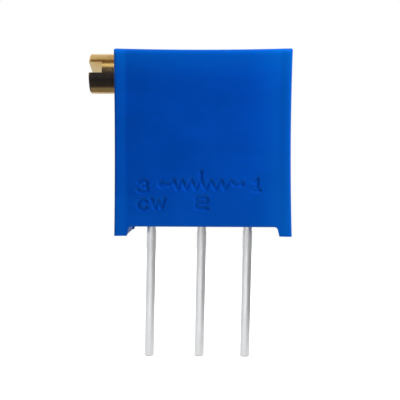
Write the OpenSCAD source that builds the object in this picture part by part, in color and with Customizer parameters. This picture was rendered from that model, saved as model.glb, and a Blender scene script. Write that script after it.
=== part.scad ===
// Side-adjusted multi-turn trimmer potentiometer in the 3/8 inch square package.
// X runs to the right with the adjustment screw at the left, Y runs away from the marked face, Z is up.
// The origin is on the axis of the middle lead, where it passes the seating plane under the feet.

/* [Body] */
// Width of the housing, along the row of leads
body_w = 9.53; // [9.3:0.01:9.9]
// Thickness of the housing, from the marked face to the back
body_t = 4.83; // [4.75:0.01:5.1]
// Height of the housing from the seating plane, feet included
body_h = 10.03; // [9.9:0.01:10.6]
// Distance of the housing's centre to the right of the middle lead
body_shift = 0.15; // [0:0.01:0.35]
// Thickness of the moulded walls
wall = 0.6; // [0.5:0.01:0.65]
// Radius along the top edges of the marked face and the back
top_edge_r = 0.3; // [0.15:0.01:0.4]
// Radius along the other outer edges
side_edge_r = 0.12; // [0.05:0.01:0.2]

/* [Feet] */
// Height of the two standing rails under the side walls
foot_h = 0.5; // [0.3:0.01:0.55]
// Width of a rail where it stands
foot_w = 0.66; // [0.5:0.01:0.8]
// Sideways lean of a rail's inner face over its height
foot_slant = 0.08; // [0:0.01:0.15]
// Fillet between a rail and the wall above the gap
foot_fillet_r = 0.18; // [0.08:0.01:0.22]

/* [Adjustment screw] */
// Diameter of the screw's head
screw_d = 2.19; // [2.05:0.01:2.22]
// Drop of the screw's axis below the top of the housing
screw_drop = 1.27; // [1.25:0.01:1.4]
// Length of the head outside the housing
screw_out = 1.52; // [1.2:0.01:2]
// Chamfer round the outer end of the head
screw_chamfer = 0.07; // [0.03:0.01:0.12]
// Width of the screwdriver slot
slot_w = 0.62; // [0.5:0.01:0.7]
// Depth of the screwdriver slot
slot_d = 0.72; // [0.5:0.01:0.85]
// Angle of the slot at mid travel, in degrees from level
slot_turn = -18.5; // [-90:0.5:90]
// Running clearance round the head, the tail and the neck
run_play = 0.03; // [0.02:0.005:0.05]

/* [Screw seal and retainer] */
// Length of the head inside the housing, up to the seal groove
head_in = 0.85; // [0.7:0.01:0.95]
// Thickness of the sealing ring
seal_d = 0.4; // [0.34:0.01:0.44]
// Length of the collar between the seal groove and the neck
collar_w = 0.25; // [0.2:0.01:0.3]
// Radius of the neck that the retainer straddles
neck_r = 0.6; // [0.5:0.01:0.65]
// Thickness of the retainer's sheet
retainer_t = 0.26; // [0.2:0.01:0.3]
// Width of the retainer across its two legs
retainer_w = 2.3; // [2.1:0.01:2.4]
// Material of the housing round the screw's bore
boss_wall = 0.32; // [0.25:0.01:0.34]
// Length of the boss beyond the retainer
boss_lip = 0.25; // [0.15:0.01:0.3]

/* [Worm drive] */
// Number of teeth on the worm wheel
teeth = 30; // [28:1:31]
// Gap between the wheel's teeth and the potting under them
wheel_gap = 0.17; // [0.1:0.01:0.25]
// Pitch radius of the worm
worm_r = 0.75; // [0.72:0.01:0.78]
// Length of the shoulder between the neck and the worm
shoulder_w = 0.15; // [0.1:0.01:0.2]
// Plain core between the shoulder and the start of the thread
thread_gap = 0.34; // [0.25:0.01:0.6]
// Gap between the worm's thread and the wheel's teeth, at each flank and tip
mesh_play = 0.035; // [0.025:0.005:0.05]
// Pressure angle of thread and teeth, in degrees
pressure_angle = 20; // [15:1:22]
// Room between the wheel's toothed rim and the films, for the contact spring
spring_room = 0.425; // [0.4:0.005:0.5]
// Radius of the screw's tail in its blind bearing
tail_r = 0.42; // [0.3:0.01:0.48]
// Length of the housing's tail bearing inside the right wall
tail_boss_l = 0.7; // [0.5:0.01:0.9]
// Depth of the tail's bearing in the right wall
tail_in = 0.25; // [0.1:0.01:0.3]

/* [Wiper wheel] */
// Radius of the post on the housing that the wheel turns on
post_r = 0.7; // [0.6:0.01:0.8]
// Radius of the wheel's hub
hub_r = 1.25; // [1.1:0.01:1.35]
// Radius of the pilot that centres the wheel in the element
pilot_r = 0.4; // [0.3:0.01:0.42]
// Inner radius of the stop lug and of the stop post
stop_r0 = 1.9; // [1.7:0.01:2]
// Outer radius of the stop lug and of the stop post
stop_r1 = 2.55; // [2.4:0.01:2.65]
// Angle that the stop lug covers, and also the stop post
stop_angle = 22; // [16:1:26]
// Thickness of the contact spring's sheet
spring_t = 0.08; // [0.06:0.01:0.1]
// Width of the spring's washer round the pilot
washer_w = 0.35; // [0.3:0.01:0.4]
// Width of each contact finger
finger_w = 0.4; // [0.3:0.01:0.5]
// Half length of the rounded contact point of a finger
contact_l = 0.1; // [0.08:0.01:0.12]
// Gap left between a contact point and the film it wipes
contact_gap = 0.01; // [0.005:0.005:0.02]

/* [Resistance element] */
// Gap between the ceramic plate and each side wall
plate_play = 0.115; // [0.05:0.005:0.2]
// Thickness of the ceramic plate
plate_t = 0.64; // [0.5:0.01:0.66]
// Bottom edge of the ceramic plate above the seating plane
plate_z0 = 0.72; // [0.65:0.01:0.8]
// Gap between the ceramic plate and the screw's boss above it
plate_top_gap = 0.165; // [0.1:0.005:0.25]
// Bare edge of the ceramic plate above the resistance track
plate_edge = 0.17; // [0.1:0.01:0.25]
// Width of the resistance track
track_w = 0.5; // [0.4:0.01:0.6]
// Angle that the resistance track covers, in degrees
track_angle = 312; // [304:1:318]
// Radius of the middle of the collector ring
collector_r = 0.98; // [0.92:0.01:1.05]
// Width of the collector ring
collector_w = 0.4; // [0.3:0.01:0.44]
// Thickness of the fired films
film_t = 0.03; // [0.02:0.005:0.04]
// How much narrower than the track the conductor traces to the leads are
trace_inset = 0.05; // [0.02:0.01:0.1]

/* [Leads and potting] */
// Diameter of a lead
lead_d = 0.51; // [0.45:0.01:0.56]
// Pitch of the leads
lead_pitch = 2.54; // [2.5:0.01:2.6]
// Distance of lead 3 outside its grid point, as photographed and within the package's tolerance
lead_3_drift = 0.25; // [0:0.01:0.25]
// Reach of the leads below the seating plane
lead_reach = 6.9; // [3:0.05:13]
// Sideways lean of the leads' tinned lengths, in degrees
lead_lean = 1.1; // [-1.5:0.1:1.5]
// Thickness of the tin coat on the leads
coat_t = 0.02; // [0.01:0.005:0.03]
// Height above the seating plane where the tin coat and the lean end
coat_z = 0.1; // [0:0.01:0.14]
// Chamfer round the cut end of a lead
lead_chamfer = 0.05; // [0.02:0.01:0.1]
// Height of the leads' level ends above the seating plane
elbow_z = 1.28; // [1.25:0.01:1.35]
// Bend radius of a lead at its middle line
elbow_r = 0.45; // [0.4:0.01:0.5]
// Radius of a solder fillet on the film
solder_r = 0.46; // [0.42:0.01:0.5]
// Height of a solder fillet along the lead
solder_h = 0.3; // [0.2:0.01:0.32]
// Recess of the potting above the lower edge of the marked face
potting_recess = 0.08; // [0.02:0.01:0.15]
// Top of the potting above the seating plane
potting_z1 = 1.66; // [1.62:0.01:1.7]

/* [Hidden] */
$fn = 64;

blue = [0.01, 0.24, 0.64];
brass = [0.80, 0.62, 0.30];
tinned = [0.80, 0.81, 0.83];
steel = [0.62, 0.63, 0.65];

// Cutters run past the faces that they cut by this much
past = 1;
// A thread or tooth is sunk this far into the core that carries it
bite = 0.05;

left = body_shift - body_w / 2;
right = body_shift + body_w / 2;
front = -body_t / 2;
inner_left = left + wall;
inner_right = right - wall;
inner_y = body_t / 2 - wall;
inner_top = body_h - wall;

// Small gaps: beside and over the sealing ring, and round pieces that are fitted by hand
seal_side_gap = 0.05;
seal_gap = 0.01;
fit_gap = 0.02;

// Stations of the screw along X, from the slotted end to the tail
screw_z = body_h - screw_drop;
screw_r = screw_d / 2;
bore_r = screw_r + run_play;
screw_x0 = left - screw_out;
groove_x0 = left + head_in;
groove_x1 = groove_x0 + seal_d + 2 * seal_side_gap;
neck_x0 = groove_x1 + collar_w;
neck_x1 = neck_x0 + retainer_t + 2 * run_play;
boss_x1 = neck_x1 + boss_lip;
boss_r = bore_r + boss_wall;
retainer_lip = 0.15;
retainer_top = neck_r + retainer_lip;
groove_r = bore_r - seal_d - seal_gap;
tail_x0 = inner_right - tail_boss_l;
tail_x1 = inner_right + tail_in;

// Worm and wheel: the thread's profile is a rack, and the wheel's teeth have the same flanks
// The wheel fills the height between the worm and the potting; a tooth is as deep as this share of the module
depth_share = 0.9;
wheel_r = (screw_z - worm_r - potting_z1 - wheel_gap) / (2 + 2 * depth_share / teeth);
tooth_module = 2 * wheel_r / teeth;
thread_pitch = PI * tooth_module;
tooth_depth = depth_share * tooth_module;
wheel_tip_r = wheel_r + tooth_depth;
wheel_root_r = wheel_r - tooth_depth - mesh_play;
worm_tip_r = worm_r + tooth_depth;
worm_root_r = worm_r - tooth_depth - mesh_play;
worm_lead_angle = atan(thread_pitch / (2 * PI * worm_r));
wheel_x = body_shift;
wheel_z = screw_z - worm_r - wheel_r;
channel_r = worm_tip_r + 0.06;

// The thread reaches as far to both sides of the wheel, in whole steps from the tooth under it
thread_steps = 20;
thread_reach = min(wheel_x - neck_x1 - shoulder_w, tail_x0 - wheel_x) - thread_gap;
side_steps = round(thread_reach / thread_pitch * thread_steps);

// The ceramic plate stands against the back wall, and the films are on its front
plate_y1 = inner_y - fit_gap;
plate_y0 = plate_y1 - plate_t;
film_y0 = plate_y0 - film_t;
plate_w = inner_right - inner_left - 2 * plate_play;
plate_z1 = screw_z - boss_r - plate_top_gap;
guide_t = 0.25;
guide_w = 0.35;
guide_y1 = plate_y0 - fit_gap;
track_r = plate_z1 - plate_edge - track_w / 2 - wheel_z;
trace_w = track_w - trace_inset;

// The wheel's rim, its post and the two halves of its stop, along Y
wheel_w = 2 * (film_y0 - spring_room);
post_y1 = -0.1;
lug_l = 0.45;
stop_gap = 0.25;
stop_l = inner_y - wheel_w / 2 - stop_gap;

// Leads: the coated length leans, and the bare wire above it stands upright
lead_r = lead_d / 2;
wire_r = lead_r - coat_t;
wire_root = 0.3;
lead_x = [lead_pitch, 0, -lead_pitch - lead_3_drift];
hole_r = wire_r + 0.07;
pad_r = solder_r + 0.08;
function lead_top_x(i) = lead_x[i] + coat_z * sin(lead_lean);
// A fillet is no higher than the level end leaves room for
fillet_h = min(solder_h, film_y0 - elbow_r - fit_gap);

// Points of an arc in degrees, both ends included
function arc(cx, cy, r, a0, a1, n) =
    [for (i = [0:n]) let (a = a0 + (a1 - a0) * i / n) [cx + r * cos(a), cy + r * sin(a)]];

// Half width of a rack tooth at a height above its pitch line
function flank(h) = thread_pitch / 4 - mesh_play - h * tan(pressure_angle);

// A cylinder along X between two stations, on the screw's axis
module screw_rod(x0, x1, r, r_end = undef) {
    translate([x0, 0, screw_z]) rotate([0, 90, 0])
        cylinder(h = x1 - x0, r1 = r, r2 = is_undef(r_end) ? r : r_end);
}

// Turns what is drawn along Z so that it runs along +Y on the wheel's axis, with its own Y upwards
module on_wheel_axis(y) {
    translate([wheel_x, y, wheel_z]) rotate([90, 0, 0]) mirror([0, 0, 1]) children();
}

// A cylinder on the wheel's axis between two values of Y
module wheel_rod(y0, y1, r) {
    on_wheel_axis(y0) cylinder(h = y1 - y0, r = r);
}

// A rectangle with round corners, drawn with true arcs
module round_rect(x0, x1, y0, y1, r) {
    translate([x0 + r, y0]) square([x1 - x0 - 2 * r, y1 - y0]);
    translate([x0, y0 + r]) square([x1 - x0, y1 - y0 - 2 * r]);
    for (x = [x0 + r, x1 - r], y = [y0 + r, y1 - r]) translate([x, y]) circle(r);
}

// Ring sector in the plane of the wheel, opening downwards
module sector(r0, r1, angle, h, turn = 90) {
    rotate([0, 0, turn - angle / 2]) rotate_extrude(angle = angle) translate([r0, 0]) square([r1 - r0, h]);
}

// The outer block: rounded in plan, and rounded over its top edges
module housing_block() {
    intersection() {
        linear_extrude(body_h) round_rect(left, right, front, -front, side_edge_r);
        translate([left, 0, 0]) rotate([90, 0, 90])
            linear_extrude(body_w) round_rect(front, -front, -body_h, body_h, top_edge_r);
        translate([0, -front, 0]) rotate([90, 0, 0])
            linear_extrude(body_t) round_rect(left, right, -body_h, body_h, side_edge_r);
    }
}

// The gap between the two standing rails, as its profile seen from the front
module foot_gap() {
    x0 = left + foot_w;
    x1 = right - foot_w;
    r = foot_fillet_r;
    translate([0, -front + past, 0]) rotate([90, 0, 0]) linear_extrude(body_t + 2 * past)
        polygon(concat(
            [[x0, -past], [x0, 0]],
            arc(x0 + foot_slant + r, foot_h - r, r, 180, 90, 5),
            arc(x1 - foot_slant - r, foot_h - r, r, 90, 0, 5),
            [[x1, 0], [x1, -past]]));
}

// Two ribs that the ceramic plate stands behind; they can run into the walls and reach back to the plate
module guides(into_wall, back) {
    for (x = [inner_left - into_wall, inner_right - guide_w])
        translate([x, guide_y1 - guide_t, plate_z0])
            cube([guide_w + into_wall, guide_t + back, plate_z1 - plate_z0]);
}

// Where the housing keeps material inside: bosses, post, stop and guides
module housing_inner_forms() {
    screw_rod(left + wall / 2, boss_x1, boss_r);
    screw_rod(tail_x0, right - wall / 2, tail_r + run_play + boss_wall);
    wheel_rod(front + wall / 2, post_y1, post_r);
    on_wheel_axis(front + wall / 2) sector(stop_r0, stop_r1, stop_angle, wall / 2 + stop_l, -90);
    guides(bite, 0);
}

module housing() {
    color(blue) difference() {
        housing_block();
        foot_gap();
        difference() {
            translate([inner_left, -inner_y, -past])
                cube([inner_right - inner_left, 2 * inner_y, inner_top + past]);
            housing_inner_forms();
        }
        screw_rod(left - past, boss_x1 + past, bore_r);
        screw_rod(boss_x1, tail_x0, channel_r);
        screw_rod(tail_x0 - past / 2, tail_x1 + run_play, tail_r + run_play);
        retainer_slot();
    }
}

// The slot in the boss, open downwards, that the retainer is pushed into
module retainer_slot() {
    translate([neck_x0, -retainer_w / 2 - fit_gap, screw_z - boss_r - past])
        cube([neck_x1 - neck_x0, retainer_w + 2 * fit_gap, boss_r + past + retainer_top + fit_gap]);
}

// One run of thread: a rack tooth swept along a right-handed helix, running out at both ends
module worm_thread() {
    steps = 2 * side_steps;
    rows = [for (i = [0:steps])
        let (a = 360 * (i - side_steps) / thread_steps,
             x = wheel_x + thread_pitch * a / 360,
             fade = min(1, (i + 1) / 6, (steps - i + 1) / 6),
             tip = worm_root_r + (worm_tip_r - worm_root_r) * fade,
             root = worm_root_r - bite)
        [for (p = [[-flank(root - worm_r), root], [-flank(tip - worm_r), tip],
                   [flank(tip - worm_r), tip], [flank(root - worm_r), root]])
            [x + p[0], p[1] * cos(a + 90), screw_z + p[1] * sin(a + 90)]]];
    points = [for (row = rows) each row];
    sides = [for (i = [0:steps - 1], k = [0:3])
        let (a = 4 * i + k, b = 4 * i + (k + 1) % 4)
        each [[a, b, b + 4], [a, b + 4, a + 4]]];
    last = 4 * steps;
    ends = [[0, 2, 1], [0, 3, 2], [last, last + 1, last + 2], [last, last + 2, last + 3]];
    polyhedron(points, concat(sides, ends));
}

module adjustment_screw() {
    color(brass) {
        difference() {
            union() {
                screw_rod(screw_x0, screw_x0 + screw_chamfer, screw_r - screw_chamfer, screw_r);
                screw_rod(screw_x0 + screw_chamfer, groove_x0, screw_r);
                screw_rod(groove_x0, groove_x1, groove_r);
                screw_rod(groove_x1, neck_x0, screw_r);
            }
            translate([screw_x0, 0, screw_z]) rotate([slot_turn, 0, 0])
                translate([-past, -screw_r - past, -slot_w / 2]) cube([past + slot_d, 2 * (screw_r + past), slot_w]);
        }
        screw_rod(neck_x0, neck_x1, neck_r);
        screw_rod(neck_x1, neck_x1 + shoulder_w, worm_tip_r);
        screw_rod(neck_x1, tail_x0, worm_root_r);
        screw_rod(tail_x0 - bite, tail_x1, tail_r);
        worm_thread();
    }
}

module seal_ring() {
    ring_r = seal_d / 2;
    color([0.10, 0.10, 0.11]) translate([(groove_x0 + groove_x1) / 2, 0, screw_z]) rotate([0, 90, 0])
        rotate_extrude() translate([groove_r + ring_r, 0]) circle(ring_r, $fn = 32);
}

// A flat fork of sheet steel: it is pushed up over the neck and holds the screw in
module screw_retainer() {
    fork_r = neck_r + run_play;
    color(steel) translate([neck_x0 + run_play, 0, screw_z]) rotate([90, 0, 90]) linear_extrude(retainer_t)
        difference() {
            translate([-retainer_w / 2, -boss_r]) square([retainer_w, boss_r + retainer_top]);
            circle(fork_r);
            translate([-fork_r, 0]) square([2 * fork_r, retainer_top + past]);
        }
}

// One straight-flanked tooth at the top of the wheel, turned to the lead angle of the worm
module wheel_tooth() {
    h0 = wheel_root_r - bite - wheel_r;
    h1 = tooth_depth;
    rotate([0, 0, -worm_lead_angle]) translate([0, wheel_w, 0]) rotate([90, 0, 0]) linear_extrude(2 * wheel_w)
        polygon([[-flank(h0), wheel_r + h0], [-flank(h1), wheel_r + h1 + bite],
                 [flank(h1), wheel_r + h1 + bite], [flank(h0), wheel_r + h0]]);
}

module worm_wheel() {
    y0 = -wheel_w / 2;
    y1 = wheel_w / 2;
    hub_y0 = -inner_y + 0.08;
    color([0.86, 0.84, 0.78]) difference() {
        union() {
            intersection() {
                wheel_rod(y0, y1, wheel_tip_r);
                union() {
                    wheel_rod(y0, y1, wheel_root_r);
                    for (i = [0:teeth - 1])
                        translate([wheel_x, 0, wheel_z]) rotate([0, i * 360 / teeth, 0]) wheel_tooth();
                }
            }
            wheel_rod(hub_y0, y0 + bite, hub_r);
            wheel_rod(y1 - bite, plate_y0 + plate_t / 2, pilot_r);
            on_wheel_axis(y0 - lug_l) sector(stop_r0, stop_r1, stop_angle, lug_l + bite);
        }
        wheel_rod(hub_y0 - past, post_y1 + 0.05, post_r + run_play);
    }
}

// A finger of the spring seen from the side: rising to its contact point and turned back
module finger(reach) {
    y_top = film_y0 - contact_gap - wheel_w / 2;
    l = contact_l;
    path = [[pilot_r + washer_w / 2, spring_t], [reach - 2.8 * l, y_top - 0.9 * l], [reach - l, y_top - l / 10],
            [reach, y_top], [reach + l, y_top - l / 10], [reach + 2 * l, y_top - l]];
    back = [for (i = [len(path) - 1:-1:0]) [path[i][0], path[i][1] - spring_t]];
    translate([finger_w / 2, 0, 0]) rotate([90, 0, -90]) linear_extrude(finger_w) polygon(concat(path, back));
}

// The contact spring: a washer with one finger on the track and one on the collector ring
module contact_spring() {
    color([0.85, 0.70, 0.42]) on_wheel_axis(wheel_w / 2) {
        difference() {
            union() {
                cylinder(h = spring_t, r = pilot_r + washer_w);
                rotate([0, 0, 180]) finger(track_r);
                finger(collector_r);
            }
            translate([0, 0, -past]) cylinder(h = 2 * past, r = pilot_r + fit_gap / 2);
        }
    }
}

// What is drawn in the plate's own plane, seen from the front, is set on the given depth range
module in_plate_plane(y0, y1) {
    translate([0, y1, 0]) rotate([90, 0, 0]) linear_extrude(y1 - y0) children();
}

module ceramic_plate() {
    color([0.93, 0.92, 0.88]) in_plate_plane(plate_y0, plate_y1) difference() {
        translate([body_shift - plate_w / 2, plate_z0]) square([plate_w, plate_z1 - plate_z0]);
        translate([wheel_x, wheel_z]) circle(pilot_r + run_play);
        for (i = [0:2]) lead_hole(i, hole_r);
    }
}

module resistance_track() {
    color([0.13, 0.12, 0.12]) on_wheel_axis(film_y0)
        sector(track_r - track_w / 2, track_r + track_w / 2, track_angle, film_t);
}

// Where the conductor trace of lead i starts on the films: at an end of the track or on the collector ring
function trace_start(i) =
    let (side = 1 - i, turn = (360 - track_angle) / 2)
    i == 1 ? [wheel_x, wheel_z - collector_r]
           : [wheel_x + side * track_r * sin(turn), wheel_z - track_r * cos(turn)];

// The outline of a conductor trace with its pad, before the lead's hole is made
module trace_outline(i) {
    from = trace_start(i);
    to = [lead_top_x(i), elbow_z];
    along = to - from;
    translate(from) rotate(atan2(along[1], along[0])) translate([0, -trace_w / 2]) square([norm(along), trace_w]);
    translate(to) circle(pad_r);
}

module lead_hole(i, r) {
    translate([lead_top_x(i), elbow_z]) circle(r);
}

module collector_track() {
    color([0.75, 0.74, 0.70]) in_plate_plane(film_y0, plate_y0) difference() {
        union() {
            translate([wheel_x, wheel_z]) circle(collector_r + collector_w / 2);
            trace_outline(1);
        }
        translate([wheel_x, wheel_z]) circle(collector_r - collector_w / 2);
        lead_hole(1, hole_r);
    }
}

// The trace from one end of the track to its outer lead
module end_trace(i) {
    color([0.75, 0.74, 0.70]) difference() {
        in_plate_plane(film_y0, plate_y0) difference() {
            union() {
                translate(trace_start(i)) circle(trace_w / 2);
                trace_outline(i);
            }
            lead_hole(i, hole_r);
        }
        on_wheel_axis(film_y0 - past)
            sector(track_r - track_w / 2, track_r + track_w / 2, track_angle, film_t + 2 * past);
    }
}

module end_trace_1() { end_trace(0); }
module end_trace_3() { end_trace(2); }

// A round lead: a tinned shank that leans, and bare wire upright from inside it, bent level and through the plate
module lead(i) {
    translate([lead_x[i], 0, 0]) rotate([0, lead_lean, 0]) {
        translate([0, 0, -lead_reach]) cylinder(h = lead_chamfer, r1 = lead_r - lead_chamfer, r2 = lead_r);
        translate([0, 0, lead_chamfer - lead_reach])
            cylinder(h = lead_reach - lead_chamfer + coat_z, r = lead_r);
    }
    translate([lead_top_x(i), 0, 0]) {
        translate([0, 0, coat_z - wire_root]) cylinder(h = elbow_z - elbow_r - coat_z + wire_root, r = wire_r);
        translate([0, elbow_r, elbow_z - elbow_r]) rotate([0, 90, 0]) rotate([0, 0, 180])
            rotate_extrude(angle = 90) translate([elbow_r, 0]) circle(wire_r);
        translate([0, elbow_r, elbow_z]) rotate([-90, 0, 0]) cylinder(h = plate_y1 - elbow_r, r = wire_r);
    }
}

module terminal_1() { color(tinned) lead(0); }
module terminal_2() { color(tinned) lead(1); }
module terminal_3() { color(tinned) lead(2); }

// Solder: a sleeve through the plate's hole and a fillet that wets the pad; filled, it includes the lead
module solder(i, filled = false) {
    r = filled ? 0 : wire_r;
    face = plate_t + film_t;
    color([0.70, 0.71, 0.73]) translate([lead_top_x(i), plate_y1, elbow_z]) rotate([90, 0, 0]) rotate_extrude()
        polygon([[r, 0], [hole_r, 0], [hole_r, face], [solder_r, face],
                 [wire_r + 4 * fit_gap, face + 0.4 * fillet_h], [wire_r + fit_gap, face + fillet_h],
                 [r, face + fillet_h]]);
}

module solder_1() { solder(0); }
module solder_2() { solder(1); }
module solder_3() { solder(2); }

// Cast resin that closes the underside round the leads and the foot of the plate
module epoxy_potting() {
    z0 = foot_h + potting_recess;
    color([0.62, 0.50, 0.30]) difference() {
        translate([inner_left, -inner_y, z0])
            cube([inner_right - inner_left, 2 * inner_y, potting_z1 - z0]);
        guides(0, fit_gap + bite);
        translate([body_shift - plate_w / 2, plate_y0, plate_z0]) cube([plate_w, inner_y - plate_y0 + past, body_h]);
        for (i = [0:2]) {
            lead(i);
            solder(i, filled = true);
            in_plate_plane(film_y0, plate_y0 + bite) trace_outline(i);
        }
    }
}

housing();
adjustment_screw();
seal_ring();
screw_retainer();
worm_wheel();
contact_spring();
ceramic_plate();
resistance_track();
collector_track();
end_trace_1();
end_trace_3();
terminal_1();
terminal_2();
terminal_3();
solder_1();
solder_2();
solder_3();
epoxy_potting();
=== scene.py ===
"""Looks of a side-adjusted multi-turn trimmer potentiometer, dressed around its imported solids.

Lengths are millimetres while a piece is built, and metres once it is in the scene.
"""

import logging
import math
from dataclasses import dataclass, field
from enum import Enum
from typing import Any, Callable, Iterable, Sequence

import bmesh
import bpy
import numpy as np
from mathutils import Matrix, Vector


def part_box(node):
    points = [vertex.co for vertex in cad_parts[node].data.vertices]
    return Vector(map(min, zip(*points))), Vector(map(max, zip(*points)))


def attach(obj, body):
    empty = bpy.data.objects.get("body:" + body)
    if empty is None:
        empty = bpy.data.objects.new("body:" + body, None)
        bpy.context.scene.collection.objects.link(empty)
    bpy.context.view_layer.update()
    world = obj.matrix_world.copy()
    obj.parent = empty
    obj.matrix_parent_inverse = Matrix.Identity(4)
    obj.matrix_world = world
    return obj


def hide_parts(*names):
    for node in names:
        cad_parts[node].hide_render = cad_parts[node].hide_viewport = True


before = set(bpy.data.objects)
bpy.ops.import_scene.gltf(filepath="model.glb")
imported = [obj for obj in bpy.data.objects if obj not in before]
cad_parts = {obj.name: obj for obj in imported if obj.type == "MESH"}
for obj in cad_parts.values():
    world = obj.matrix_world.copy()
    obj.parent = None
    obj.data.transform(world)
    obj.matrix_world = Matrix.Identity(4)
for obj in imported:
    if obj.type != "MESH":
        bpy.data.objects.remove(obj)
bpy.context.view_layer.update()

MM = 0.001
# Step between a new face and the solid's own face that it meets, in millimetres, so that the two never coincide
SEAM = 0.002
log = logging.getLogger("trimmer")

Colour = tuple[float, float, float]
Place = tuple[float, float, float]
Point2 = tuple[float, float]

WHITE: Colour = (1.0, 1.0, 1.0)


class Side(Enum):
    """Sides of the housing in plan, in the order of its outline."""

    FRONT = 0
    RIGHT = 1
    BACK = 2
    LEFT = 3


class Cut(Enum):
    """What one closed mesh does to another."""

    TAKE = "DIFFERENCE"
    JOIN = "UNION"


# ---------------- meshes


def smooth_step(value: np.ndarray | float, start: float, end: float) -> np.ndarray:
    """Rises softly from 0, where the value is start, to 1, where it is end."""
    t = np.clip((np.asarray(value, float) - start) / (end - start), 0, 1)
    return t * t * (3 - 2 * t)


class Workshop:
    """Mesh work that every piece uses."""

    @staticmethod
    def add(name: str, data: bpy.types.ID) -> bpy.types.Object:
        """Makes an object and links it to the scene.

        Args:
            name: Its name.
            data: Its mesh, lamp or camera.

        Returns:
            The object.
        """
        thing = bpy.data.objects.new(name, data)
        bpy.context.scene.collection.objects.link(thing)
        return thing

    @staticmethod
    def piece(name: str, points: np.ndarray, faces: Iterable[Sequence[int]]) -> bpy.types.Object:
        """Makes an object from points and faces.

        Args:
            name: Name of the piece.
            points: Points in millimetres, one row each.
            faces: Point numbers of each face, counter-clockwise from outside.

        Returns:
            The object, linked to the scene.
        """
        mesh = bpy.data.meshes.new(name)
        mesh.from_pydata([tuple(map(float, p)) for p in points], [], [list(f) for f in faces])
        mesh.update()
        return Workshop.add(name, mesh)

    @staticmethod
    def copy_of_solid(node: str) -> bpy.types.Object:
        """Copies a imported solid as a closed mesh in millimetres.

        Args:
            node: Name of the solid.

        Returns:
            A loose copy; the solid itself stays as it is.
        """
        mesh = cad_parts[node].data.copy()
        mesh.transform(Matrix.Scale(1 / MM, 4))
        work = bmesh.new()
        work.from_mesh(mesh)
        bmesh.ops.remove_doubles(work, verts=work.verts, dist=1e-5)
        work.to_mesh(mesh)
        work.free()
        return Workshop.add(node + "_copy", mesh)

    @staticmethod
    def block(name: str, low: Place, high: Place) -> bpy.types.Object:
        """Makes a box.

        Args:
            name: Its name.
            low: Its lowest corner.
            high: Its highest corner.

        Returns:
            The box.
        """
        xs, ys, zs = zip(low, high)
        corners = np.array([[x, y, z] for z in zs for y in ys for x in xs])
        faces = [(0, 2, 3, 1), (4, 5, 7, 6), (0, 1, 5, 4), (2, 6, 7, 3), (0, 4, 6, 2), (1, 3, 7, 5)]
        return Workshop.piece(name, corners, faces)

    @staticmethod
    def arc(centre: Point2, rx: float, rz: float, start: float, end: float, steps: int = 14) -> list[Point2]:
        """Points along part of an ellipse, between two angles in degrees."""
        angles = np.radians(np.linspace(start, end, steps))
        return [(centre[0] + rx * math.cos(a), centre[1] + rz * math.sin(a)) for a in angles]

    @staticmethod
    def bar(name: str, outline: Sequence[Point2], axis: int, start: float, end: float) -> bpy.types.Object:
        """Makes a straight bar along X or Y.

        Args:
            name: Name of the bar.
            outline: Its corners, as Y and Z or as X and Z, counter-clockwise as seen from its start.
            axis: 0 along X, 1 along Y.
            start: Where it starts.
            end: Where it ends.

        Returns:
            The bar.
        """
        n = len(outline)
        points = np.insert(np.array([*outline, *outline]), axis, np.repeat((start, end), n), axis=1)
        faces: list[Sequence[int]] = [tuple(range(n)), tuple(range(2 * n - 1, n - 1, -1))]
        faces += [(i, i + n, (i + 1) % n + n, (i + 1) % n) for i in range(n)]
        return Workshop.piece(name, points, faces)

    @staticmethod
    def combine(target: bpy.types.Object, tool: bpy.types.Object, how: Cut) -> None:
        """Cuts the tool from the target, or joins it on, and removes the tool.

        Args:
            target: The closed mesh that changes.
            tool: The closed mesh that is used up.
            how: What is done.
        """
        step = target.modifiers.new("work", "BOOLEAN")
        step.solver = "EXACT"
        step.operation = how.value
        step.object = tool
        bpy.context.view_layer.update()
        result = bpy.data.meshes.new_from_object(target.evaluated_get(bpy.context.evaluated_depsgraph_get()))
        target.modifiers.clear()
        old = target.data
        target.data = result
        result.name = target.name
        bpy.data.meshes.remove(old)
        used = tool.data
        bpy.data.objects.remove(tool)
        bpy.data.meshes.remove(used)

    @staticmethod
    def dress(node: str, material: bpy.types.Material) -> None:
        """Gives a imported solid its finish.

        Args:
            node: Name of the solid.
            material: The finish.
        """
        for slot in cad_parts[node].material_slots:
            slot.material = material
        log.info("%s: packed solid in %s", node, material.name)

    @staticmethod
    def mount(piece: bpy.types.Object, node: str, slot: str, material: bpy.types.Material) -> None:
        """Puts a finished piece in the place of a solid of the housing, and dresses both.

        Args:
            piece: The piece.
            node: Name of the solid that it stands for.
            slot: Name of a material slot; not used.
            material: The finish.
        """
        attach(piece, "housing_assembly")
        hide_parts(node)
        piece.data.materials.clear()
        piece.data.materials.append(material)
        log.info("%s: %d faces in %s", piece.name, len(piece.data.polygons), material.name)
        Workshop.dress(node, material)

    @staticmethod
    def finish(piece: bpy.types.Object, sharp_deg: float) -> None:
        """Brings a piece to metres and shades it smooth up to an angle.

        Args:
            piece: The piece, built in millimetres.
            sharp_deg: Edges with a larger angle stay sharp.
        """
        mesh = piece.data
        mesh.transform(Matrix.Scale(MM, 4))
        mesh.shade_smooth()
        mesh.set_sharp_from_angle(angle=math.radians(sharp_deg))
        mesh.update()


# ---------------- shader expressions


def arithmetic(operation: str, turned: bool = False) -> Callable[["Signal", Any], "Signal"]:
    """Makes an operator from a Math node's operation.

    Args:
        operation: Name of the operation.
        turned: Whether the signal stands after the other value, as in 1 - mask.

    Returns:
        The operator.
    """
    def apply(signal: "Signal", other: Any) -> "Signal":
        """Adds the Math node."""
        pair = (other, signal) if turned else (signal, other)
        return signal.graph.node("ShaderNodeMath", {"operation": operation}, dict(enumerate(pair)))

    return apply


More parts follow.
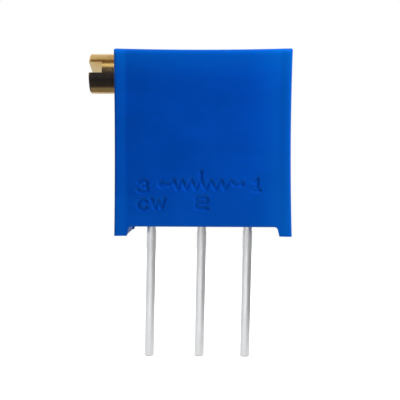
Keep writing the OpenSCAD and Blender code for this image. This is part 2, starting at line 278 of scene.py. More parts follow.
class Signal:
    """A socket of a shader that can be used in arithmetic."""

    __add__, __radd__ = arithmetic("ADD"), arithmetic("ADD", turned=True)
    __sub__, __rsub__ = arithmetic("SUBTRACT"), arithmetic("SUBTRACT", turned=True)
    __mul__, __rmul__ = arithmetic("MULTIPLY"), arithmetic("MULTIPLY", turned=True)
    __pow__, __rpow__ = arithmetic("POWER"), arithmetic("POWER", turned=True)

    def __init__(self, graph: "Graph", socket: bpy.types.NodeSocket) -> None:
        """Wraps a socket of a graph."""
        self.graph = graph
        self.socket = socket

    def steps(self, start: float, end: float) -> "Signal":
        """Softly maps start to 0 and end to 1."""
        settings = {"interpolation_type": "SMOOTHSTEP"}
        return self.graph.node("ShaderNodeMapRange", settings, {"Value": self, "From Min": start, "From Max": end})


class Graph:
    """The node tree of one finish or of the surroundings, with its main shader."""

    def __init__(self, owner: bpy.types.Material | bpy.types.World) -> None:
        """Opens the node tree of a material or of the surroundings.

        Args:
            owner: What the tree belongs to.
        """
        owner.use_nodes = True
        self.owner = owner
        self.tree = owner.node_tree
        self.shader = self.tree.nodes.get("Principled BSDF")

    @classmethod
    def of_finish(cls, name: str) -> "Graph":
        """Starts a finish with the given name."""
        return cls(bpy.data.materials.new(name))

    def node(self, kind: str, settings: dict[str, Any], inputs: dict[int | str, Any], out: int | str = 0) -> Signal:
        """Adds any node.

        Args:
            kind: Type of the node.
            settings: Its properties, set first.
            inputs: Values or signals of its sockets.
            out: Output to hand on.

        Returns:
            That output.
        """
        made = self.tree.nodes.new(kind)
        for key, value in settings.items():
            setattr(made, key, value)
        for key, value in inputs.items():
            self.feed(made.inputs[key], value)
        return Signal(self, made.outputs[out])

    def feed(self, socket: bpy.types.NodeSocket, value: Any) -> None:
        """Sets a socket to a value, or links a signal to it.

        Args:
            socket: The socket.
            value: A signal, a colour, a vector or a number.
        """
        if isinstance(value, Signal):
            self.tree.links.new(value.socket, socket)
        elif socket.type == "RGBA":
            socket.default_value = (*value, 1)
        else:
            socket.default_value = value

    def set(self, **values: Any) -> None:
        """Sets or links sockets of the main shader, with _ for the spaces in their names."""
        for key, value in values.items():
            self.feed(self.shader.inputs[key.replace("_", " ")], value)

    def surface(self, shader: Signal) -> None:
        """Makes a shader the one that shows."""
        output = next(n for n in self.tree.nodes if n.bl_idname.startswith("ShaderNodeOutput"))
        self.tree.links.new(shader.socket, output.inputs["Surface"])

    def rays(self) -> tuple[Signal, Signal, Signal]:
        """Tells where a ray comes from.

        Returns:
            1 for a ray from the camera, 1 for one from a mirroring surface, and 1 for one through a clear one.
        """
        path = self.node("ShaderNodeLightPath", {}, {}).socket.node
        camera, glossy, clear = (
            Signal(self, path.outputs[f"Is {kind} Ray"]) for kind in ("Camera", "Glossy", "Transmission"))
        return camera, glossy, clear

    def place(self) -> Signal:
        """Place on the resting object in millimetres."""
        where = self.node("ShaderNodeTexCoord", {}, {}, "Object")
        return self.node("ShaderNodeVectorMath", {"operation": "SCALE"}, {0: where, "Scale": 1 / MM})

    def parts(self, vector: Signal) -> tuple[Signal, Signal, Signal]:
        """Splits a vector.

        Args:
            vector: The vector.

        Returns:
            Its X, Y and Z.
        """
        split = self.node("ShaderNodeSeparateXYZ", {}, {0: vector}).socket.node
        x, y, z = (Signal(self, output) for output in split.outputs)
        return x, y, z

    def vector(self, x: Any, y: Any, z: Any) -> Signal:
        """A vector from its parts."""
        return self.node("ShaderNodeCombineXYZ", {}, {0: x, 1: y, 2: z})

    def stretch(self, vector: Signal, by: Sequence[float]) -> Signal:
        """Multiplies each part of a vector."""
        return self.node("ShaderNodeVectorMath", {"operation": "MULTIPLY"}, {0: vector, 1: tuple(by)})

    def noise(
        self, where: Signal, per_mm: float, detail: float = 3, rough: float = 0.5, flat: bool = False,
    ) -> Signal:
        """Soft noise between 0 and 1.

        Args:
            where: Place in millimetres.
            per_mm: Cells in a millimetre.
            detail: Number of finer layers.
            rough: Weight of the finer layers.
            flat: Whether it varies in two directions only.

        Returns:
            The noise.
        """
        settings = {"noise_dimensions": "2D" if flat else "3D"}
        inputs = {"Vector": where, "Scale": per_mm, "Detail": detail, "Roughness": rough}
        return self.node("ShaderNodeTexNoise", settings, inputs)

    def blend(self, mask: Any, first: Any, second: Any) -> Signal:
        """Colour that goes from first to second with a mask."""
        factor, a, b, mixed = 0, 6, 7, 2
        return self.node("ShaderNodeMix", {"data_type": "RGBA"}, {factor: mask, a: first, b: second}, mixed)

    def relief(self, height: Signal, depth_mm: float) -> Signal:
        """Bump normal of a height between 0 and 1, where 1 stands for the depth."""
        return self.node("ShaderNodeBump", {}, {"Strength": 1.0, "Distance": depth_mm * MM, "Height": height})


# ---------------- finishes


@dataclass(frozen=True)
class PaintedLightRims:
    """Painted light: where a moulding is painted paler as if lit more strongly, as X at its left and right and Z at
    its top, and how strongly at the left.
    """

    colour: Colour
    left: Point2
    right: Point2
    top: Point2
    left_share: float

    def over(self, g: Graph, at: Signal, base: Signal) -> Signal:
        """Lays the painted light of the paler rims over a colour.

        Args:
            g: Graph of the finish.
            at: Place in millimetres.
            base: Colour without the painted light.

        Returns:
            The colour with the painted light.
        """
        x, _, z = g.parts(at)
        # Painted light: the left strip, the right part of the face and the top band are painted paler, where light
        # falls more strongly on them.
        painted_light_share = (1 - x.steps(*self.left)) * self.left_share + x.steps(*self.right) + z.steps(*self.top)
        return g.blend(painted_light_share, base, self.colour)


@dataclass(frozen=True)
class MouldedPlastic:
    """Thermoset or thermoplastic with the fine skin of a spark-eroded mould."""

    name: str
    colour: Colour
    deep: Colour
    roughness: float
    gloss: float
    tint: Colour = WHITE
    painted_light_rims: PaintedLightRims | None = None
    grain_mm: float = 0.05
    grain_depth: float = 0.0016

    def make(self) -> bpy.types.Material:
        """Builds the finish.

        Returns:
            Its material.
        """
        g = Graph.of_finish(self.name)
        at = g.place()
        cloud = g.noise(at, 0.45, detail=2)
        grain = g.noise(at, 1 / self.grain_mm, detail=2, rough=0.6)
        flow = g.noise(g.stretch(at, (0.5, 1.0, 2.2)), 1.1)
        base = g.blend((cloud * 0.7 + flow * 0.3).steps(0.3, 0.7), self.colour, self.deep)
        # Painted light: paler rims laid over the colour where light falls more strongly.
        if self.painted_light_rims:
            base = self.painted_light_rims.over(g, at, base)
        g.set(
            Base_Color=base,
            Roughness=self.roughness + (grain - 0.5) * 0.12,
            Specular_IOR_Level=self.gloss,
            Specular_Tint=self.tint,
            Normal=g.relief(grain * 0.8 + flow * 0.2, self.grain_depth),
        )
        return g.owner


@dataclass(frozen=True)
class TurnedMetal:
    """Bar stock turned about an axis along X, with the fine rings of the tool."""

    name: str
    bright: Colour
    dull: Colour
    axis_z: float
    slot_end: float
    slot_half: float
    slot_deg: float
    # Slot wall colour, paler than the turned brass: a painted highlight standing for the lit slot wall.
    sawn_and_lit: Colour = (0.74, 0.66, 0.40)
    ring_mm: float = 0.045
    ring_depth: float = 0.0022

    def make(self) -> bpy.types.Material:
        """Builds the finish.

        Returns:
            Its material.
        """
        g = Graph.of_finish(self.name)
        x, y, z = g.parts(g.place())
        up = z - self.axis_z
        radius = (y * y + up * up) ** 0.5
        rings = g.noise(g.vector(x, radius, 0.0), 1 / self.ring_mm, detail=2, rough=0.55, flat=True)
        patch = g.noise(g.place(), 1.3, detail=4, rough=0.6)
        turn = math.radians(self.slot_deg)
        across = up * math.cos(turn) - y * math.sin(turn)
        # The slot's walls: rougher where sawn, and painted paler as a painted highlight of the lit wall.
        inside = (self.slot_half ** 2 - across * across).steps(-0.01, 0.01) * (self.slot_end - x).steps(-0.02, 0.02)
        turned = g.blend(patch.steps(0.35, 0.75), self.bright, self.dull)
        g.set(
            Base_Color=g.blend(inside, turned, self.sawn_and_lit),
            Metallic=1.0,
            Roughness=0.14 + rings * 0.12 + patch * 0.06 + inside * 0.15,
            Normal=g.relief(rings, self.ring_depth),
        )
        return g.owner


@dataclass(frozen=True)
class DrawnWire:
    """Tinned wire with streaks along it and a slightly uneven coat."""

    name: str
    bright: Colour
    dull: Colour
    roughness: float = 0.34

    def make(self) -> bpy.types.Material:
        """Builds the finish.

        Returns:
            Its material.
        """
        g = Graph.of_finish(self.name)
        at = g.place()
        streaks = g.noise(g.stretch(at, (9.0, 9.0, 0.35)), 1.6)
        coat = g.noise(g.stretch(at, (1.0, 1.0, 0.5)), 1.8, detail=4, rough=0.55)
        specks = g.noise(at, 14.0, detail=2, rough=0.7)
        g.set(
            Base_Color=g.blend((coat * 0.6 + streaks * 0.4).steps(0.38, 0.7), self.bright, self.dull),
            Metallic=1.0,
            Roughness=self.roughness + coat * 0.1 + (specks - 0.5) * 0.1,
            Normal=g.relief(streaks * 0.6 + specks * 0.4, 0.0035),
        )
        return g.owner


@dataclass(frozen=True)
class FiredFilm:
    """Ceramic or a printed and fired film: matt, with fine pores."""

    name: str
    colour: Colour
    deep: Colour
    roughness: float
    metallic: float = 0.0
    pore_mm: float = 0.035
    pore_depth: float = 0.003

    def make(self) -> bpy.types.Material:
        """Builds the finish.

        Returns:
            Its material.
        """
        g = Graph.of_finish(self.name)
        at = g.place()
        pores = g.noise(at, 1 / self.pore_mm, rough=0.65)
        cloud = g.noise(at, 0.9)
        g.set(
            Base_Color=g.blend((cloud * 0.5 + pores * 0.5).steps(0.35, 0.7), self.colour, self.deep),
            Metallic=self.metallic,
            Roughness=self.roughness + (pores - 0.5) * 0.15,
            Normal=g.relief(pores, self.pore_depth),
        )
        return g.owner


@dataclass(frozen=True)
class RolledSheet:
    """Thin rolled metal sheet: fine straight lines, bright."""

    name: str
    bright: Colour
    dull: Colour
    roughness: float = 0.28

    def make(self) -> bpy.types.Material:
        """Builds the finish.

        Returns:
            Its material.
        """
        g = Graph.of_finish(self.name)
        at = g.place()
        lines = g.noise(g.stretch(at, (1.2, 18.0, 18.0)), 1.4, detail=2)
        cloud = g.noise(at, 1.2)
        g.set(
            Base_Color=g.blend(cloud.steps(0.35, 0.7), self.bright, self.dull),
            Metallic=1.0,
            Roughness=self.roughness + (lines - 0.5) * 0.14,
            Normal=g.relief(lines, 0.0015),
        )
        return g.owner


@dataclass(frozen=True)
class Rubber:
    """Black moulded rubber."""

    name: str = "seal_rubber"
    colour: Colour = (0.016, 0.016, 0.018)
    dusty: Colour = (0.045, 0.045, 0.047)

    def make(self) -> bpy.types.Material:
        """Builds the finish.

        Returns:
            Its material.
        """
        g = Graph.of_finish(self.name)
        at = g.place()
        dust = g.noise(at, 6.0, detail=4, rough=0.6)
        g.set(
            Base_Color=g.blend(dust.steps(0.5, 0.8), self.colour, self.dusty),
            Roughness=0.62 + (dust - 0.5) * 0.2,
            Normal=g.relief(g.noise(at, 25.0, detail=2), 0.002),
        )
        return g.owner


@dataclass(frozen=True)
class CastResin:
    """Potting resin: filled, amber, glossy, with specks of filler and faint flow."""

    name: str = "potting_resin"
    colour: Colour = (0.36, 0.21, 0.075)
    pale: Colour = (0.50, 0.33, 0.14)
    filler: Colour = (0.62, 0.48, 0.28)

    def make(self) -> bpy.types.Material:
        """Builds the finish.

        Returns:
            Its material.
        """
        g = Graph.of_finish(self.name)
        at = g.place()
        cloud = g.noise(at, 0.8)
        specks = g.noise(at, 16.0, detail=2, rough=0.7)
        base = g.blend(cloud.steps(0.35, 0.7), self.colour, self.pale)
        g.set(
            Base_Color=g.blend(specks.steps(0.62, 0.75) * 0.6, base, self.filler),
            Roughness=0.24 + cloud * 0.12,
            Coat_Weight=0.25,
            Normal=g.relief(cloud * 0.7 + specks * 0.3, 0.006),
        )
        return g.owner


# ---------------- marks pressed into the face


@dataclass
class FaceMarks:
    """Terminal numbers, turning direction and circuit symbol, pressed into the marked face.

    Places are X and Z in millimetres on the face.
    """

    half_width: float = 0.082
    flank: float = 0.11
    depth: float = 0.085
    strokes: list[list[Point2]] = field(default_factory=list)
    dots: list[tuple[Point2, float]] = field(default_factory=list)

    def __post_init__(self) -> None:
        """Draws all the marks."""
        self.figure_three((-3.09, 2.68), rx=0.26, height=0.60)
        self.figure_one((3.04, 2.775), height=0.61)
        self.figure_two((0.07, 1.79), width=0.59, height=0.57)
        self.letter_c((-3.09, 1.68), rx=0.25, rz=0.25)
        self.letter_w((-2.26, 1.75), width=0.70, height=0.48)
        self.circuit_symbol()

    def figure_three(self, centre: Point2, rx: float, height: float) -> None:
        """Draws a 3 from two bowls.

        Args:
            centre: Its centre.
            rx: Half its width.
            height: Its height.
        """
        (x, z), rz = centre, height / 4
        upper_share, open_deg = 0.92, 155
        upper = Workshop.arc((x, z + rz), rx * upper_share, rz, open_deg, -90)
        lower = Workshop.arc((x, z - rz), rx, rz, 90, -open_deg)
        self.strokes.append(upper + lower[1:])

    def figure_one(self, centre: Point2, height: float) -> None:
        """Draws a 1 with a flag and a foot.

        Args:
            centre: Its centre.
            height: Its height.
        """
        (x, z), h = centre, height / 2
        flag_x, flag_z, foot = 0.14, 0.13, 0.15
        self.strokes.append([(x - flag_x, z + h - flag_z), (x, z + h), (x, z - h)])
        self.strokes.append([(x - foot, z - h), (x + foot, z - h)])

    def figure_two(self, centre: Point2, width: float, height: float) -> None:
        """Draws a square-built 2.

        Args:
            centre: Its centre.
            width: Its width.
            height: Its height.
        """
        (x, z), r, hook = centre, 0.08, 0.12
        x0, x1, z0, z1 = x - width / 2, x + width / 2, z - height / 2, z + height / 2
        self.strokes.append([
            (x0, z1 - hook), (x0 + r / 2, z1), (x1 - r, z1), (x1, z1 - r), (x1, z + r), (x1 - r, z),
            (x0 + r, z), (x0, z - r), (x0, z0), (x1, z0),
        ])

    def letter_c(self, centre: Point2, rx: float, rz: float) -> None:
        """Draws a C, open to the right."""
        open_deg, steps = 42, 20
        self.strokes.append(Workshop.arc(centre, rx, rz, open_deg, 360 - open_deg, steps))

    def letter_w(self, centre: Point2, width: float, height: float) -> None:
        """Draws a W.

        Args:
            centre: Its centre.
            width: Its width.
            height: Its height.
        """
        (x, z), middle_share = centre, 0.3
        xs = np.linspace(x - width / 2, x + width / 2, 5)
        zs = (z + height / 2, z - height / 2, z + height * middle_share, z - height / 2, z + height / 2)
        self.strokes.append(list(zip(map(float, xs), zs)))

    def circuit_symbol(self) -> None:
        """Draws the resistor's zigzag with a dot at each end and the wiper above it."""
        peaks = (-1.442, -0.994, -0.477, 0.030, 0.547, 1.107, 1.614)
        valleys = (-1.234, -0.759, -0.253, 0.281, 0.814, 1.315)
        high, low, middle = 3.0, 2.54, 2.77
        left_end, right_end, wiper_end = (-2.10, 2.79), (2.206, 2.815), (0.03, 3.46)
        line: list[Point2] = [left_end, (-1.66, middle)]
        for i, peak in enumerate(peaks):
            line.append((peak, high))
            if i < len(valleys):
                line.append((valleys[i], low))
        line += [(1.84, middle), right_end]
        self.strokes.append(line)
        self.strokes.append([wiper_end, (peaks[3], high)])
        self.dots += [(left_end, 0.17), (right_end, 0.14), (wiper_end, 0.095)]

    def press(self, x: np.ndarray, z: np.ndarray) -> np.ndarray:
        """How deep the face is pressed in at some places.

        Args:
            x: X of the places.
            z: Z of the places.

        Returns:
            Depth at each place.
        """
        here = np.stack([x, z], -1)
        nearest = np.full(x.shape, np.inf)
        inner_share, outer_share = 0.4, 0.6
        for line in self.strokes:
            for a, b in zip(line[:-1], line[1:]):
                start, along = np.array(a), np.array(b) - np.array(a)
                t = np.clip(((here - start) @ along) / max(float(along @ along), 1e-9), 0, 1)
                gap = np.linalg.norm(here - start - t[..., None] * along, axis=-1)
                nearest = np.minimum(nearest, gap - self.half_width)
        for centre, radius in self.dots:
            nearest = np.minimum(nearest, np.linalg.norm(here - np.array(centre), axis=-1) - radius)
        return self.depth * (1 - smooth_step(nearest, -inner_share * self.flank, outer_share * self.flank))


# ---------------- housing


@dataclass
class Housing:
    """The moulded cup with its standing rails, the pressed marks and the soft sinks of thick moulding.

    A ramp is where a face's sunk panel begins and ends beside the rim, and a zone is a depth below the top.
    """

    left: float
    right: float
    front: float
    back: float
    height: float
    wall: float = 0.6
    top_r: float = 0.3
    side_r: float = 0.12
    foot_h: float = 0.5
    foot_w: float = 0.66
    foot_slant: float = 0.08
    foot_fillet: float = 0.18
    bore_r: float = 1.125
    screw_z: float = 8.76
    side_bows: Point2 = (0.04, 0.08)
    top_bow: float = 0.07
    face_sink: float = 0.08
    face_hollow: float = 0.03
    left_ramp: Point2 = (0.12, 0.66)
    right_ramp: Point2 = (0.14, 0.7)
    bow_zone: Point2 = (1.2, 0.3)
    top_lean: float = 0.05
    lean_zone: Point2 = (1.6, 0.2)
    lip: float = 0.06
    lip_height: float = 0.1
    corner_share: float = 0.06
    fine: float = 0.025
    marked_x: Point2 = (-3.4, 3.65)
    marked_z: Point2 = (1.3, 3.85)
    sharp_deg: float = 38
    marks: FaceMarks = field(default_factory=FaceMarks)
    # The paler rims are painted light: the left strip, the right part of the face and the top band painted paler,
    # where the light falls more strongly.
    plastic: MouldedPlastic = MouldedPlastic(
        "housing_blue", (0.0003, 0.051, 0.40), (0.0002, 0.043, 0.34), roughness=0.45, gloss=0.55,
        tint=(0.02, 0.7, 1.0), painted_light_rims=PaintedLightRims(
            (0.001, 0.092, 0.465), left=(-4.14, -3.86), right=(2.4, 6.3), top=(8.0, 11.3), left_share=0.3))

    @classmethod
    def of_solid(cls) -> "Housing":
        """The housing, sized by its solid."""
        low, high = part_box("housing")
        return cls(*(v / MM for v in (low.x, high.x, low.y, high.y, high.z)))

    def columns(self) -> np.ndarray:
        """Spaces the points along the front, closer together over the marks.

        Returns:
            Their X.
        """
        x0, x1 = self.left + self.side_r, self.right - self.side_r
        start, end = self.marked_x
        coarse = 0.08
        return np.concatenate([
            np.arange(x0, start, coarse), np.arange(start, end, self.fine),
            np.arange(end, x1 - coarse / 2, coarse), [x1],
        ])

    def levels(self) -> np.ndarray:
        """Spaces the rings of points, closer together at the lip and over the marks.

        Returns:
            Their heights.
        """
        start, end = self.marked_z
        coarse, close, upper, room = 0.1, 0.02, 0.14, 0.5
        foot, top = self.foot_h, self.height - room
        return np.concatenate([
            np.arange(0, foot - coarse / 2, coarse), np.arange(foot, foot + self.lip_height + close, close),
            np.arange(foot + 2 * coarse, start, coarse), np.arange(start, end, self.fine),
            np.arange(end, top, upper), [top],
        ])

    def outline(self) -> tuple[np.ndarray, np.ndarray, np.ndarray, np.ndarray]:
        """The outline in plan, counter-clockwise from the front's left end.

        Returns:
            Points, where each ends on the flat top, height of the rounding at each, and the side that it is on.
        """
        r, rest = self.side_r, self.corner_share
        corner_steps, end_steps, back_steps = 6, 26, 48
        rows: list[tuple[Point2, Point2, float, int]] = []
        x0, x1 = self.left + r, self.right - r
        y0, y1 = self.front + r, self.back - r
        low, high = self.front + self.top_r, self.back - self.top_r

        def add(point: Point2, target: Point2, drop: float, side: Side) -> None:
            """Notes a point, its place on the flat top, the height of the rounding there, and its side."""
            rows.append((point, target, drop, side.value))

        def corner(cx: float, cy: float, start: float, first: float, last: float, side: Side) -> None:
            """Rounds an upright corner.

            Args:
                cx: X of its centre.
                cy: Y of its centre.
                start: Angle at which it starts, in degrees.
                first: Height of the top's rounding at its start.
                last: Height of the top's rounding at its end.
                side: The side that it is on.
            """
            end_y = low if cy < 0 else high
            for k in range(1, corner_steps):
                a = math.radians(start + 90 / corner_steps * k)
                away = (r * math.cos(a), r * math.sin(a))
                drop = first + (last - first) * float(smooth_step(k / corner_steps, 0, 1))
                add((cx + away[0], cy + away[1]), (cx + rest * away[0], end_y + rest * away[1]), drop, side)

        for x in self.columns():
            add((x, self.front), (x, low - rest * r), self.top_r, Side.FRONT)
        corner(x1, y0, -90, self.top_r, r, Side.RIGHT)
        for y in np.linspace(y0, y1, end_steps):
            add((self.right, y), (x1 + rest * r, low + (high - low) * (y - y0) / (y1 - y0)), r, Side.RIGHT)
        corner(x1, y1, 0, r, self.top_r, Side.BACK)
        for x in np.linspace(x1, x0, back_steps):
            add((x, self.back), (x, high + rest * r), self.top_r, Side.BACK)
        corner(x0, y1, 90, self.top_r, r, Side.LEFT)
        for y in np.linspace(y1, y0, end_steps):
            add((self.left, y), (x0 - rest * r, low + (high - low) * (y - y0) / (y1 - y0)), r, Side.LEFT)
        corner(x0, y0, 180, r, self.top_r, Side.LEFT)
        plan, targets, drops, sides = (np.array(column) for column in zip(*rows))
        return plan, targets, drops, sides

    def mould(self, points: np.ndarray, sides: np.ndarray) -> np.ndarray:
        """Moves the skin's points for sinks, bows and marks.

        Args:
            points: Rings of points, as levels by outline by 3.
            sides: Side of the housing that each point of the outline is on.

        Returns:
            The moved points.
        """
        x, y, z = (points[..., i].copy() for i in range(3))
        middle_x, half_w = (self.left + self.right) / 2, (self.right - self.left) / 2
        middle_z = self.height / 2
        bow = 1 - np.clip((z - middle_z) / middle_z, -1, 1) ** 2
        slope = np.clip((x - self.left - self.left_ramp[0]) / (self.left_ramp[1] - self.left_ramp[0]), 0, 1)
        panel = slope * smooth_step(self.right - x, *self.right_ramp)
        hollow = 1 - np.clip((x - middle_x) / half_w, -1, 1) ** 2
        ease, lip_power = 0.2, 1.5
        inner = self.foot_w + self.foot_slant + self.foot_fillet
        between = smooth_step(x - self.left, inner - ease, inner) * smooth_step(self.right - x, inner - ease, inner)
        x -= np.where(x < middle_x, *self.side_bows) * bow * (x - middle_x) / half_w
        for side, sign, flat in ((Side.FRONT, 1, self.front), (Side.BACK, -1, self.back)):
            on = (sides == side.value)[None, :] * np.clip(1 - np.abs(y - flat) / self.top_r, 0, 1)
            shift = self.face_sink * panel + self.face_hollow * hollow * bow
            shift = shift + self.top_lean * hollow * smooth_step(z, *(self.height - d for d in self.lean_zone))
            lip = np.clip((self.foot_h - z) / self.lip_height + 1, 0, 1) ** lip_power
            shift = shift + self.lip * between * lip
            if side is Side.FRONT:
                shift = shift + self.marks.press(x, z)
            y = y + sign * shift * on
        z -= self.top_bow * hollow * smooth_step(z, *(self.height - d for d in self.bow_zone))
        return np.stack([x, y, z], -1)

    def skin(self) -> bpy.types.Object:
        """Makes the closed outer form, not yet hollow.

        Returns:
            The form.
        """
        rounding_steps = 9
        plan, targets, drops, sides = self.outline()
        n = len(plan)
        rings = [np.column_stack([plan, np.full(n, z)]) for z in self.levels()]
        for angle in np.radians(np.linspace(0, 90, rounding_steps)):
            inset = plan + (targets - plan) * (1 - math.cos(angle))
            rings.append(np.column_stack([inset, self.height - drops * (1 - math.sin(angle))]))
        grid = self.mould(np.array(rings), sides)
        m = len(rings)
        faces: list[Sequence[int]] = [tuple(range(n - 1, -1, -1))]
        for k in range(m - 1):
            low, high = k * n, (k + 1) * n
            faces += [(low + i, low + (i + 1) % n, high + (i + 1) % n, high + i) for i in range(n)]
        faces += self.lid(targets, (m - 1) * n)
        return Workshop.piece("housing_shell", grid.reshape(-1, 3), faces)

    def lid(self, rim: np.ndarray, first: int) -> list[Sequence[int]]:
        """Closes the top with narrow triangles across it, so that it may be bowed along its length.

        Args:
            rim: X and Y of the points round the top.
            first: Number of the first of them.

        Returns:
            The triangles.
        """
        n, nudge = len(rim), 1e-3
        middle_x, middle_y = (self.left + self.right) / 2, (self.front + self.back) / 2
        away = np.abs(rim[:, 1] - middle_y)
        order = rim[:, 0] - np.sign(rim[:, 0] - middle_x) * away * nudge
        start, end = int(np.argmin(order)), int(np.argmax(order))
        near = [(start + i) % n for i in range((end - start) % n + 1)]
        far = [(start - i) % n for i in range((start - end) % n + 1)]
        faces: list[Sequence[int]] = []
        i = j = 0
        while i < len(near) - 1 or j < len(far) - 1:
            if j == len(far) - 1 or (i < len(near) - 1 and order[near[i + 1]] <= order[far[j + 1]]):
                corners = (near[i], near[i + 1], far[j])
                i += 1
            else:
                corners = (near[i], far[j + 1], far[j])
                j += 1
            if len(set(corners)) == 3:
                faces.append(tuple(first + c for c in corners))
        return faces

    def gap_outline(self, inset: float) -> list[Point2]:
        """Draws the gap between the rails as seen from the front.

        Args:
            inset: How much smaller it is made all round.

        Returns:
            Its corners in X and Z.
        """
        r, steps, below = self.foot_fillet, 9, -1.0
        x0, x1 = self.left + self.foot_w + inset, self.right - self.foot_w - inset
        z = self.foot_h - inset - r
        right = Workshop.arc((x1 - self.foot_slant - r, z), r, r, 0, 90, steps)
        left = Workshop.arc((x0 + self.foot_slant + r, z), r, r, 90, 180, steps)
        return [(x0, below), (x1, below), (x1, 0.0), *right, *left, (x0, 0.0)]

    def build(self) -> None:
        """Builds the housing: the skin outside, and inside what the solid has."""
        half, reach, below = self.wall / 2, 0.05, -1.0
        body = self.skin()
        low = (self.left + half, self.front + half, below)
        high = (self.right - half, self.back - half, self.height - half)
        hollow = Workshop.block("hollow", low, high)
        Workshop.combine(hollow, Workshop.copy_of_solid("housing"), Cut.TAKE)
        Workshop.combine(body, hollow, Cut.TAKE)
        outline = self.gap_outline(SEAM)
        for y0, y1 in ((self.front - 1, self.front + half + reach), (self.back - half - reach, self.back + 1)):
            Workshop.combine(body, Workshop.bar("gap", outline, 1, y0, y1), Cut.TAKE)
        r, corners = self.bore_r - SEAM, 96
        circle = Workshop.arc((0.0, self.screw_z), r, r, 360, 0, corners + 1)[:-1]
        bore = Workshop.bar("bore", circle, 0, self.left - 1, self.left + half + reach)
        Workshop.combine(body, bore, Cut.TAKE)
        Workshop.finish(body, self.sharp_deg)
        self.dress(body)

    def dress(self, body: bpy.types.Object) -> None:
        """Puts the finished housing in its place, in blue plastic."""
        Workshop.mount(body, "housing", "housing_plastic", self.plastic.make())


# ---------------- potting


@dataclass
class Potting:
    """The cast resin, which creeps up the walls and round the leads."""

    left: float
    right: float
    front: float
    back: float
    level: float
    leads: tuple[float, ...]
    lead_r: float = 0.235
    creep: float = 0.07
    lead_creep: float = 0.16
    creep_reach: float = 0.14
    lead_reach: float = 0.11
    wave_height: float = 0.012
    wave_per_mm: Point2 = (1.3, 1.9)
    wave_start: Point2 = (0.6, -0.4)
    bite: float = 0.05
    step: float = 0.06
    sharp_deg: float = 40
    resin: CastResin = CastResin()

    @classmethod
    def of_solid(cls) -> "Potting":
        """The potting, sized by its solid and by the joints that the leads go through.

        Returns:
            The potting.
        """
        low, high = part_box("epoxy_potting")
        joints = (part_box(f"solder_{i}") for i in (1, 2, 3))
        leads = tuple((a.x + b.x) / 2 / MM for a, b in joints)
        return cls(low.x / MM + SEAM, high.x / MM - SEAM, low.y / MM + SEAM, high.y / MM - SEAM, low.z / MM, leads)

    def surface(self, x: np.ndarray, y: np.ndarray) -> np.ndarray:
        """Height of the resin's lower face.

        Args:
            x: X of the places.
            y: Y of the places.

        Returns:
            Z at each place.
        """
        to_wall = np.minimum.reduce([x - self.left, self.right - x, y - self.front, self.back - y])
        drop = self.creep * np.exp(-np.maximum(to_wall, 0) / self.creep_reach)
        for centre in self.leads:
            gap = np.maximum(np.hypot(x - centre, y) - self.lead_r, 0)
            drop = drop + self.lead_creep * np.exp(-gap / self.lead_reach)
        (per_x, per_y), (start_x, start_y) = self.wave_per_mm, self.wave_start
        wave = self.wave_height * np.sin(per_x * x + start_x) * np.cos(per_y * y + start_y)
        return self.level - drop - wave

    def build(self) -> None:
        """Builds the resin from its solid and the crept face."""
        x = np.concatenate([np.arange(self.left, self.right, self.step), [self.right]])
        y = np.concatenate([np.arange(self.front, self.back, self.step), [self.back]])
        gx, gy = np.meshgrid(x, y, indexing="ij")
        low = np.stack([gx, gy, self.surface(gx, gy)], -1)
        high = np.stack([gx, gy, np.full(gx.shape, self.level + self.bite)], -1)
        nx, ny = gx.shape
        count = nx * ny

        def at(i: int, j: int, top: int) -> int:
            """Number of a point of the crept face or of the flat one above it."""
            return top * count + i * ny + j

        cells = [(i, j) for i in range(nx - 1) for j in range(ny - 1)]
        faces = [(at(i, j, 0), at(i, j + 1, 0), at(i + 1, j + 1, 0), at(i + 1, j, 0)) for i, j in cells]
        faces += [(at(i, j, 1), at(i + 1, j, 1), at(i + 1, j + 1, 1), at(i, j + 1, 1)) for i, j in cells]
        edge = [(i, 0) for i in range(nx - 1)] + [(nx - 1, j) for j in range(ny - 1)]
        edge += [(i, ny - 1) for i in range(nx - 1, 0, -1)] + [(0, j) for j in range(ny - 1, 0, -1)]
        after = edge[1:] + edge[:1]
        faces += [(at(*a, 0), at(*b, 0), at(*b, 1), at(*a, 1)) for a, b in zip(edge, after)]
        body = Workshop.piece("potting_fill", np.concatenate([low.reshape(-1, 3), high.reshape(-1, 3)]), faces)
        Workshop.combine(body, Workshop.copy_of_solid("epoxy_potting"), Cut.JOIN)
        Workshop.finish(body, self.sharp_deg)
        self.dress(body)

    def dress(self, body: bpy.types.Object) -> None:
        """Puts the finished resin in its place."""
        Workshop.mount(body, "epoxy_potting", "epoxy", self.resin.make())


# ---------------- sub-assemblies whose solids stay


@dataclass
class ScrewDrive:
    """The brass screw with its sawn slot, its rubber seal and the steel fork that holds it in."""

    end_x: float
    axis_z: float
    slot_depth: float = 0.72
    slot_half: float = 0.31
    slot_deg: float = -18.5
    bright: Colour = (0.86, 0.58, 0.22)
    dull: Colour = (0.69, 0.42, 0.13)
    seal: Rubber = Rubber()
    fork: RolledSheet = RolledSheet("retainer_sheet", (0.62, 0.62, 0.63), (0.48, 0.48, 0.50))

    @classmethod
    def of_solid(cls) -> "ScrewDrive":
        """The drive, sized by the screw's solid."""
        low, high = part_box("adjustment_screw")
        return cls(low.x / MM, (low.z + high.z) / 2 / MM)

    def brass(self) -> TurnedMetal:
        """The screw's finish, with the slot rougher where it was sawn and painted paler as a painted highlight of
        its lit wall.
        """
        slot_end = self.end_x + self.slot_depth
        return TurnedMetal(
            "turned_brass", self.bright, self.dull, self.axis_z, slot_end, self.slot_half, self.slot_deg)

    def build(self) -> None:
        """Dresses the screw, the seal and the fork."""
        Workshop.dress("adjustment_screw", self.brass().make())
        Workshop.dress("seal_ring", self.seal.make())
        Workshop.dress("screw_retainer", self.fork.make())


